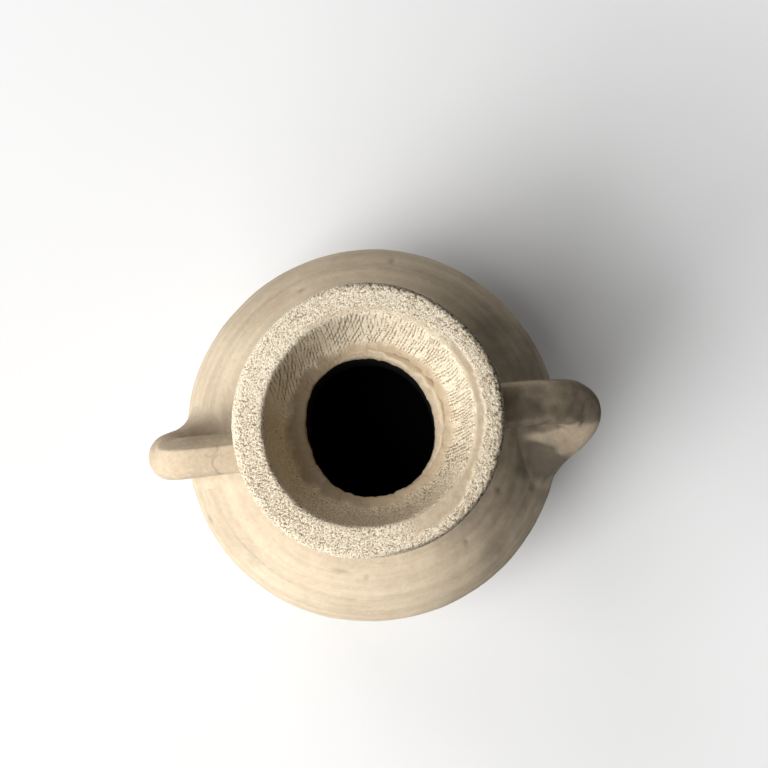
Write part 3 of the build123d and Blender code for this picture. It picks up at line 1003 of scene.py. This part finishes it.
# Painted light on the right arm's front, where less smoke makes it look lit: its start at the front, its
# slanting lower edge, its fades
painted_lit_start, painted_lit_edge, painted_lit_slant = -7.4, (46.0, -10.5), -0.54
painted_lit_fade, painted_lit_edge_fade, painted_lit_heights = (0.7, -0.9), (-1.6, 1.6), (-3.0, 4.0)
painted_lit_wander, painted_lit_wander_size = 0.8, 3.0
pot_fade = (-0.5, 3.0)
# Edges of clay smeared up the left strap: middle in plan, radius, side and half width in degrees
smear_edges = ((-39.3, -4.7, 3.5, 205.0, 75.0), (-43.5, 0.6, 2.6, 300.0, 50.0))
smear_edge_half, smear_edge_depth, smear_edge_fade, smear_edge_soil = 0.3, 0.12, 20.0, 0.2
smear_edge_wander, smear_edge_wander_size, smear_edge_facing = 0.5, 2.2, (0.0, 0.4)
# A painted highlight along the strap's back edge: turn round the section and half width in degrees, smoke
# lost, its end
highlight_turn, highlight_half, painted_highlight, highlight_end = 34.0, 17.0, 0.6, (0.5, 0.34)
handle_turn = np.arange(handle_around) * math.tau / handle_around


def handle_smoke_and_painted_light(points):
    """Share of smoke at a handle: the pot's where they meet, more along the roll, less on the right arm's
    front as painted light.
    """
    off_pot = polar(points)[0] - pot_radius(points[..., 2])
    back = points[..., 1] + painted_lit_wander * clay_noise(points, painted_lit_wander_size, 94)
    lower_edge = painted_lit_edge[1] + painted_lit_slant * (points[..., 0] - painted_lit_edge[0])
    painted_light = smooth_step(*painted_lit_fade, back - painted_lit_start)
    painted_light = painted_light * smooth_step(*painted_lit_edge_fade, back - lower_edge)
    painted_light = painted_light * smooth_step(*painted_lit_heights, points[..., 2] - seam_height)
    share = strap_smoke + (painted_lit_smoke - strap_smoke) * painted_light
    return skin_smoke + (share - skin_smoke) * smooth_step(*pot_fade, off_pot)


def smear_edge_share(points):
    """How deep in the edge of a smear each point lies, from 0 to 1."""
    share = np.zeros(points.shape[:-1])
    wander = smear_edge_wander * clay_noise(points, smear_edge_wander_size, 93)
    for across_axis, back, radius, middle, half_width in smear_edges:
        reach_out, angle = polar(points - [across_axis, back, 0.0])
        ring = np.exp(-(((reach_out + wander - radius) / smear_edge_half) ** 2))
        share = np.maximum(share, ring * sector(angle, middle, half_width, smear_edge_fade))
    return share * (points[..., 2] > neck_seat)


for side in handle_places:
    root_share = meeting_share(side, handle_turn, *root_search, handle_sink)
    foot_share = meeting_share(side, handle_turn, *foot_search, handle_sink)
    along = np.linspace(0, 1, handle_rows)[:, None]
    rows = roll_point(side, root_share + (foot_share - root_share) * along, handle_turn[None, :])
    ways = facing(rows, False)
    smear_edge_at = smear_edge_share(rows) * smooth_step(*smear_edge_facing, ways[..., 2])
    highlight_line = np.exp(-(((np.degrees(handle_turn) - highlight_turn) / highlight_half) ** 2))
    highlight_line = highlight_line * smooth_step(*highlight_end, along)
    lumps = layered(rows, handle_lumps, 91) * np.minimum(1, lump_rise * np.minimum(along, 1 - along))
    shaped = hand_shaped(rows, ways, lumps - smear_edge_depth * smear_edge_at, ring_share=0.0)
    grit = grain_tone(rows)
    # Smoke on a handle, lessened where light is painted on the right arm's front and along the strap's
    # back edge
    marks = {
        "grit": grit,
        "sandy": np.full_like(grit, 2 * skin_sand),
        "soil": smear_edge_soil * smear_edge_at,
        "smoked": smoked(rows, handle_smoke_and_painted_light(rows)) * (1 - painted_highlight * highlight_line),
    }
    make_piece(f"{side}_ear_handle", f"{side}_handle", "handle_clay", shaped, False, marks)

# %% [markdown]
# ## Luting pads
# Soft clay was smeared round both ends of each handle, so the handle grows out of the pot in a hollow
# curve. A bevel cannot do that between two separate meshes. Here each long line of the roll gives three
# corners: a point on the pot, the crease, and a point up the handle. A curve through them is tangent to
# both.

# %% Pad meshes
pad_rows = 26
pad_sink = 0.12
pad_depth = 1.0
# End of the roll: where it is looked for, way along the roll, spread on the pot and climb up the roll
pad_ends = {
    "root": {"search": root_search, "way": 1, "spread": 3.6, "climb": 6.0},
    "foot": {"search": foot_search, "way": -1, "spread": 7.4, "climb": 10.5},
}
pad_wander, pad_wander_size = 0.2, 5.0


def pad_surface(side, search, way, spread, climb):
    """Rows of a luting pad, from the pot over the hollow curve up the roll and back underneath."""
    corners = handle_corners(**handle_places[side])
    crease_share = meeting_share(side, handle_turn, *search, 0.0)
    crease = roll_point(side, crease_share, handle_turn)
    centre = bezier(corners, crease_share)
    length = np.linalg.norm(np.diff(bezier(corners, CURVE_SHARES), axis=0), axis=1).sum()
    uneven = 1 + pad_wander * clay_noise(crease, pad_wander_size, 95)
    top_share = crease_share + way * climb * uneven / length
    top = roll_point(side, top_share, handle_turn)
    top_facing = unit(top - bezier(corners, top_share))
    crease_facing = pot_facing(crease)
    away = crease - centre
    away = unit(away - (away * crease_facing).sum(-1, keepdims=True) * crease_facing)
    foot = onto_pot(crease + away * (spread * uneven)[:, None])
    foot_facing = pot_facing(foot)
    share = np.linspace(0, 1, pad_rows)[:, None]
    skin = bezier((foot - pad_sink * foot_facing, crease, top - pad_sink * top_facing), share)
    below = [
        top - pad_depth * top_facing,
        crease - pad_depth * unit(top_facing + crease_facing),
        foot - pad_depth * foot_facing,
    ]
    rows = np.concatenate([skin, np.stack(below)])
    up_roll = np.concatenate([share, [[1.0], [0.5], [0.0]]])
    return (rows, up_roll) if way > 0 else (rows[::-1], up_roll[::-1])


for side in handle_places:
    for end, shape in pad_ends.items():
        rows, up_roll = pad_surface(side, **shape)
        pressing, lumps = 4 * up_roll * (1 - up_roll), up_roll * layered(rows, handle_lumps, 91)
        node = f"{side}_handle_{end}_pad"
        make_luting(f"{side}_{end}_luting", node, rows, handle_smoke_and_painted_light(rows), pressing, lumps)

# %% [markdown]
# ## Clay finishes
# Fired clay is dull and mottled. Four effects make it up: patches of lighter and darker firing, faint
# turning lines, sand grain, and the wear, soil, smoke and painted shade and light that the meshes carry as
# marks. Each effect is a node group with named sockets, so every clay uses the same ones with its own
# values.

# %% A short way to add nodes
def add(tree, kind, inputs=None, **settings):
    """A new node with its settings, whose inputs are given values or linked to other nodes' outputs."""
    node = tree.nodes.new(kind)
    for setting, value in settings.items():
        setattr(node, setting, value)
    for socket, value in (inputs or {}).items():
        if isinstance(value, bpy.types.NodeSocket):
            tree.links.new(value, node.inputs[socket])
        else:
            node.inputs[socket].default_value = value
    return node


def blend_colours(tree, factor, first, second, way="MIX"):
    """A colour mixed from two others."""
    node = add(tree, "ShaderNodeMix", {0: factor, 6: first, 7: second}, data_type="RGBA", blend_type=way)
    return node.outputs[2]


def maths(tree, way, *values):
    """The result of a sum, product or other operation on values."""
    return add(tree, "ShaderNodeMath", dict(enumerate(values)), operation=way).outputs[0]


def remap(tree, value, low, high, new_low=0.0, new_high=1.0):
    """A value moved smoothly from one range to another."""
    inputs = {"Value": value, "From Min": low, "From Max": high, "To Min": new_low, "To Max": new_high}
    return add(tree, "ShaderNodeMapRange", inputs, interpolation_type="SMOOTHSTEP").outputs[0]


def noise_value(tree, place, scale, **inputs):
    """The value of a noise texture read at a place."""
    return add(tree, "ShaderNodeTexNoise", {"Vector": place, "Scale": scale, **inputs}).outputs[0]


def new_group(name, inputs, outputs):
    """An empty shader node group with named sockets, and its input and output nodes."""
    group = bpy.data.node_groups.new(name, "ShaderNodeTree")
    for socket, (kind, value) in inputs.items():
        group.interface.new_socket(socket, in_out="INPUT", socket_type=kind).default_value = value
    for socket, kind in outputs.items():
        group.interface.new_socket(socket, in_out="OUTPUT", socket_type=kind)
    return group, add(group, "NodeGroupInput"), add(group, "NodeGroupOutput")


NUMBER, COLOUR = "NodeSocketFloat", "NodeSocketColor"
print("node helpers are ready")

# %% Firing patches
# Patches are larger than a thumb, blotches as large as a lentil, and flecks as large as a sand grain.
def flask_place(tree):
    """The place on the flask, in metres, that every texture is laid out in."""
    return add(tree, "ShaderNodeTexCoord").outputs["Object"]


firing, given, result = new_group(
    "firing_patches",
    {"Patch Scale": (NUMBER, 55.0), "Stain Start": (NUMBER, 0.54)},
    {"Tone": NUMBER, "Stain": NUMBER, "Fleck": NUMBER},
)
place_on_flask = flask_place(firing)
# Layers of tone: scale, detail, roughness, low end of the range that is used, share
tone_layers = (
    (given.outputs["Patch Scale"], 3.0, 0.5, 0.32, 0.5),
    (330.0, 4.0, 0.6, 0.30, 0.34),
    (1700.0, 2.0, 0.5, 0.30, 0.16),
)
stain_size, stain_edge = 0.62, 0.16
fleck_scale, fleck_levels = 620.0, (0.70, 0.78)
tone = 0.0
for scale, detail, roughness, low, share in tone_layers:
    field = noise_value(firing, place_on_flask, scale, Detail=detail, Roughness=roughness)
    tone = maths(firing, "MULTIPLY_ADD", remap(firing, field, low, 1 - low), share, tone)
stain_scale = maths(firing, "MULTIPLY", given.outputs["Patch Scale"], stain_size)
stain_field = noise_value(firing, place_on_flask, stain_scale, Detail=5.0, Distortion=0.6)
stain_start = given.outputs["Stain Start"]
stain = remap(firing, stain_field, stain_start, maths(firing, "ADD", stain_start, stain_edge))
dark_fleck = noise_value(firing, place_on_flask, fleck_scale, Detail=1.0)
firing.links.new(tone, result.inputs["Tone"])
firing.links.new(stain, result.inputs["Stain"])
firing.links.new(remap(firing, dark_fleck, *fleck_levels), result.inputs["Fleck"])
print("group:", firing.name)

# %% Turning lines
# The textures are read at radius and height only, so whatever they hold becomes rings round the pot.
turning, given, result = new_group(
    "turning_lines", {"Line Scale": (NUMBER, 420.0)}, {"Tone": NUMBER, "Height": NUMBER}
)
line_drift, turning_levels = 0.06, (0.28, 0.72)
parts = add(turning, "ShaderNodeSeparateXYZ", {0: flask_place(turning)})
squares = [maths(turning, "MULTIPLY", parts.outputs[axis], parts.outputs[axis]) for axis in (0, 1)]
from_axis = maths(turning, "SQRT", maths(turning, "ADD", *squares))
drift = maths(turning, "MULTIPLY", parts.outputs[0], line_drift)
lines_at = add(turning, "ShaderNodeCombineXYZ", {0: from_axis, 1: drift, 2: parts.outputs[2]})
line_scale = given.outputs["Line Scale"]
lines = noise_value(turning, lines_at.outputs[0], line_scale, Detail=4.0, Roughness=0.62)
turning.links.new(remap(turning, lines, *turning_levels), result.inputs["Tone"])
turning.links.new(lines, result.inputs["Height"])
print("group:", turning.name)

# %% Sand grain
# How much of it shows follows the sandy mark of each mesh.
grains, given, result = new_group(
    "sand_grain", {"Grain Scale": (NUMBER, 2700.0)}, {"Height": NUMBER, "Speckle": NUMBER}
)
speckle_strength = 8.5
sandy_mark = add(grains, "ShaderNodeAttribute", attribute_name="sandy").outputs["Fac"]
grain_scale = given.outputs["Grain Scale"]
coarse = noise_value(grains, flask_place(grains), grain_scale, Detail=3.0, Roughness=0.65)
centred = maths(grains, "MULTIPLY", maths(grains, "SUBTRACT", coarse, 0.5), speckle_strength)
grains.links.new(maths(grains, "MULTIPLY", coarse, sandy_mark), result.inputs["Height"])
grains.links.new(maths(grains, "MULTIPLY", centred, sandy_mark), result.inputs["Speckle"])
print("group:", grains.name)

# %% Wear, soil and painted shade
# The marks on the meshes turn into colour: crests pale, pits and hollows brown, partly as painted shade,
# worn clay tan, smoke and soil dark. The smoke and soil marks also carry painted shade and painted light.
wear, given, result = new_group(
    "wear_and_soil",
    {
        "Colour": (COLOUR, (0.5, 0.4, 0.3, 1.0)),
        "Crest": (COLOUR, (0.93, 0.85, 0.69, 1.0)),
        "Pit": (COLOUR, (0.19, 0.135, 0.085, 1.0)),
        "Worn": (COLOUR, (0.50, 0.39, 0.265, 1.0)),
        "Smoke": (COLOUR, (0.19, 0.19, 0.195, 1.0)),
        "Soil": (COLOUR, (0.003, 0.003, 0.0028, 1.0)),
        "Speckle": (NUMBER, 0.0),
        "Crest Share": (NUMBER, 0.5),
        "Pit Share": (NUMBER, 0.5),
    },
    {"Colour": COLOUR, "Roughness": NUMBER},
)
# Hollows of the relief take the pit colour: partly the sand's own colour, partly painted shade in the
# hollows
crest_relief, hollow_shade_relief = (0.0, 0.9), (-0.1, -1.1)
worn_strength, clay_roughness, worn_roughness = 0.75, 0.95, 0.75
mark = {}
for name in ("grit", "worn", "smoked", "soil"):
    mark[name] = add(wear, "ShaderNodeAttribute", attribute_name=name).outputs["Fac"]
relief = maths(wear, "ADD", mark["grit"], given.outputs["Speckle"])
crest = maths(wear, "MULTIPLY", remap(wear, relief, *crest_relief), given.outputs["Crest Share"])
hollow_shade = maths(wear, "MULTIPLY", remap(wear, relief, *hollow_shade_relief), given.outputs["Pit Share"])
worn_share = maths(wear, "MULTIPLY", mark["worn"], worn_strength)
clay = blend_colours(wear, crest, given.outputs["Colour"], given.outputs["Crest"])
clay = blend_colours(wear, hollow_shade, clay, given.outputs["Pit"])
clay = blend_colours(wear, worn_share, clay, given.outputs["Worn"])
clay = blend_colours(wear, mark["smoked"], clay, given.outputs["Smoke"], "MULTIPLY")
clay = blend_colours(wear, mark["soil"], clay, given.outputs["Soil"])
wear.links.new(clay, result.inputs["Colour"])
roughness = remap(wear, mark["worn"], 0.0, 1.0, clay_roughness, worn_roughness)
wear.links.new(roughness, result.inputs["Roughness"])
print("group:", wear.name)

# %% [markdown]
# ## Four clays
# The body, the mouth, the handles and the luting clay come from one pit, but they do not look alike: the
# mouth is wiped back to its sand, the body keeps a smooth skin with faint turning lines, and the handles
# are a little darker.
# Each is the same build-up with its own colours and strengths, given as a row of named values.

# %% Clay materials
skin = {
    "pale": (0.665, 0.55, 0.40, 1.0), "deep": (0.535, 0.43, 0.305, 1.0),
    "stain": (0.34, 0.28, 0.21, 1.0), "stain_share": 0.35,
    "line_share": 0.0, "grain_bump": 0.28, "line_bump": 0.0, "crest": 0.2, "pit": 0.3,
}
clay_looks = {
    "body_clay": {**skin, "line_share": 0.09, "line_bump": 0.04},
    "mouth_clay": {
        "pale": (0.77, 0.66, 0.49, 1.0), "deep": (0.60, 0.48, 0.335, 1.0),
        "stain": (0.45, 0.345, 0.235, 1.0), "stain_share": 0.35,
        "line_share": 0.04, "grain_bump": 0.5, "line_bump": 0.03, "crest": 0.95, "pit": 0.9,
    },
    "handle_clay": {**skin, "pale": (0.60, 0.485, 0.345, 1.0), "deep": (0.48, 0.38, 0.265, 1.0)},
    "luting_clay": skin,
}
bump_distance = 0.0006
dullness = 0.18
fleck_share = 0.25


def clay_material(name, look):
    """A dull fired clay built up from patches, turning lines, sand grain, wear and soil."""
    material = bpy.data.materials.new(name)
    material.use_nodes = True
    tree = material.node_tree
    shader = tree.nodes["Principled BSDF"]
    shader.inputs["Specular IOR Level"].default_value = dullness
    patches = add(tree, "ShaderNodeGroup", node_tree=firing).outputs
    rings = add(tree, "ShaderNodeGroup", node_tree=turning).outputs
    sandy = add(tree, "ShaderNodeGroup", node_tree=grains).outputs
    colour = blend_colours(tree, patches["Tone"], look["deep"], look["pale"])
    ring_tone = remap(tree, rings["Tone"], 0.0, 1.0, 1 - look["line_share"], 1 + look["line_share"] / 2)
    toned = add(tree, "ShaderNodeVectorMath", {0: colour, "Scale": ring_tone}, operation="SCALE")
    stained = maths(tree, "MULTIPLY", patches["Stain"], look["stain_share"])
    colour = blend_colours(tree, stained, toned.outputs[0], look["stain"])
    flecked = maths(tree, "MULTIPLY", patches["Fleck"], fleck_share)
    colour = blend_colours(tree, flecked, colour, look["stain"])
    aged = add(tree, "ShaderNodeGroup", node_tree=wear)
    aged.inputs["Crest Share"].default_value = look["crest"]
    aged.inputs["Pit Share"].default_value = look["pit"]
    tree.links.new(colour, aged.inputs["Colour"])
    tree.links.new(sandy["Speckle"], aged.inputs["Speckle"])
    height = maths(tree, "MULTIPLY", sandy["Height"], look["grain_bump"])
    height = maths(tree, "ADD", height, maths(tree, "MULTIPLY", rings["Height"], look["line_bump"]))
    bump = add(tree, "ShaderNodeBump", {"Height": height, "Distance": bump_distance, "Strength": 1.0})
    tree.links.new(aged.outputs["Colour"], shader.inputs["Base Color"])
    tree.links.new(aged.outputs["Roughness"], shader.inputs["Roughness"])
    tree.links.new(bump.outputs[0], shader.inputs["Normal"])
    return material


for slot, look in clay_looks.items():
    finish = clay_material(slot, look)
    for piece in pieces_by_slot[slot]:
        piece.data.materials.append(finish)
    print(slot, "on", [piece.name for piece in pieces_by_slot[slot]])

# %% [markdown]
# ## Floor, light and camera
# The flask stands on a plain pale floor by a wide, soft window on its left. Area lights far larger than
# the flask give shadows that are dark at its foot and soon fade. The camera looks almost straight down,
# leaning a few degrees, as in the photograph, so its place and turn are set directly.

# %% Floor
floor_size = 6.0
floor_mesh = bpy.data.meshes.new("floor")
half = floor_size / 2
floor_corners = [(-half, -half, 0), (half, -half, 0), (half, half, 0), (-half, half, 0)]
floor_mesh.from_pydata(floor_corners, [], [(0, 1, 2, 3)])
floor = bpy.data.objects.new("floor", floor_mesh)
scene.collection.objects.link(floor)
floor_paint = bpy.data.materials.new("floor_paint")
floor_paint.use_nodes = True
floor_shader = floor_paint.node_tree.nodes["Principled BSDF"]
floor_shader.inputs["Base Color"].default_value = (0.80, 0.80, 0.80, 1.0)
floor_shader.inputs["Roughness"].default_value = 0.9
floor_shader.inputs["Specular IOR Level"].default_value = 0.0
floor_mesh.materials.append(floor_paint)
print(f"floor {floor_size} m wide")

# %% Lights
# Panels of the window and of the room: side in degrees, height above the horizon in degrees, strength
panels = {
    "window_left": (180.0, 30.0, 0.35),
    "window_middle": (210.0, 28.0, 0.49),
    "window_right": (240.0, 30.0, 0.315),
    "window_top": (210.0, 46.0, 0.21),
    "skylight": (205.0, 66.0, 0.415),
    "far_wall": (118.0, 38.0, 0.23),
}
panel_distance = 2.6
panel_width = 1.25
light_target = np.array([0.0, 0.0, 0.06])

for name, (side, rise, strength) in panels.items():
    lamp = bpy.data.lights.new(name, "AREA")
    lamp.size = panel_width
    lamp.energy = strength * (math.pi * panel_distance) ** 2
    panel = bpy.data.objects.new(name, lamp)
    level = heading(side) * math.cos(math.radians(rise))
    panel.location = light_target + panel_distance * np.append(level, math.sin(math.radians(rise)))
    panel.rotation_euler = (math.radians(90 - rise), 0.0, math.radians(side + 90))
    scene.collection.objects.link(panel)
    print(f"{name}: {lamp.energy:.1f} W")

world = bpy.data.worlds.new("room")
world.use_nodes = True
world.node_tree.nodes["Background"].inputs["Strength"].default_value = 0.0
scene.world = world
scene.view_settings.view_transform = "Standard"

# %% Camera
camera_place = (0.0041, -0.0268, 0.5396)
camera_turn_deg = (4.76, 0.51, -8.2)
sensor_width, image_width, focal_pixels = 36.0, 768, 1661.7

lens = bpy.data.cameras.new("camera")
lens.sensor_width = sensor_width
lens.lens = focal_pixels / image_width * sensor_width
camera = bpy.data.objects.new("camera", lens)
camera.location = camera_place
camera.rotation_euler = [math.radians(angle) for angle in camera_turn_deg]
scene.collection.objects.link(camera)
scene.camera = camera
print(f"lens {lens.lens:.1f} mm")
